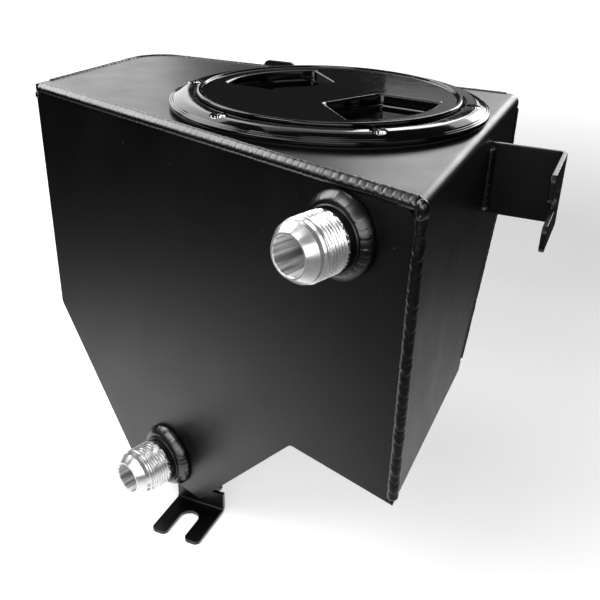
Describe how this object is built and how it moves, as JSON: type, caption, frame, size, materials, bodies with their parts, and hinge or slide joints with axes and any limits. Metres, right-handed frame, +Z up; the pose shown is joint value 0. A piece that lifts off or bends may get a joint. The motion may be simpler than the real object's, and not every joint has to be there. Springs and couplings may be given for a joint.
{
  "type": "intercooler ice tank",
  "caption": "Welded sheet tank for ice water with an angled front, a sump, a screw-out round deck plate, threaded pipe stubs and slotted mounting brackets.",
  "frame": {"origin": "underside of the bottom mounting foot, midway across it and 4 mm behind the root of its slot", "axes": "+Z up; +X toward the wall that carries the side bracket, square to it; +Y toward the back wall. The front plate faces -Y, turned 20 degrees toward -X."},
  "size_m": [0.3501, 0.3095, 0.2955],
  "materials": {
    "black_coating": "satin",
    "bare_aluminium": "machined",
    "gloss_black_plastic": "gloss",
    "gasket_rubber": "matte",
    "seal_rubber": "matte",
    "screw_steel": "polished"
  },
  "bodies": {
    "tank": {"front_plate": "black_coating", "top_side_sheet": "black_coating", "left_back_sheet": "black_coating", "sloping_back": "black_coating", "belly_sheet": "black_coating", "front_seam_bead": "black_coating", "rear_top_bead": "black_coating", "rear_side_bead": "black_coating", "upper_bung": "bare_aluminium", "lower_bung": "bare_aluminium", "upper_bung_weld": "black_coating", "lower_bung_weld": "black_coating", "side_bracket": "black_coating", "side_bracket_weld": "black_coating", "foot_bracket": "black_coating", "foot_weld": "black_coating", "rear_tab": "black_coating", "rear_tab_weld": "black_coating", "deck_gasket": "gasket_rubber", "deck_ring": "gloss_black_plastic", "ring_screws": "screw_steel"},
    "seal": {"cover_seal": "seal_rubber"},
    "cover": {"cover": "gloss_black_plastic"}
  },
  "joints": [
    {"name": "seal_lift", "type": "slide", "parent": "tank", "child": "seal", "axis": [0, 0, 1], "range_m": [0, 0.01]},
    {"name": "cover_turn", "type": "hinge", "parent": "seal", "child": "cover", "pos_m": [0.0565, 0.09101, 0.292], "axis": [0, 0, 1], "range_deg": [0, 720]}
  ],
  "couplings": [
    {"joint": "seal_lift", "follows": "cover_turn", "m_per_rad": 0.00079577}
  ]
}
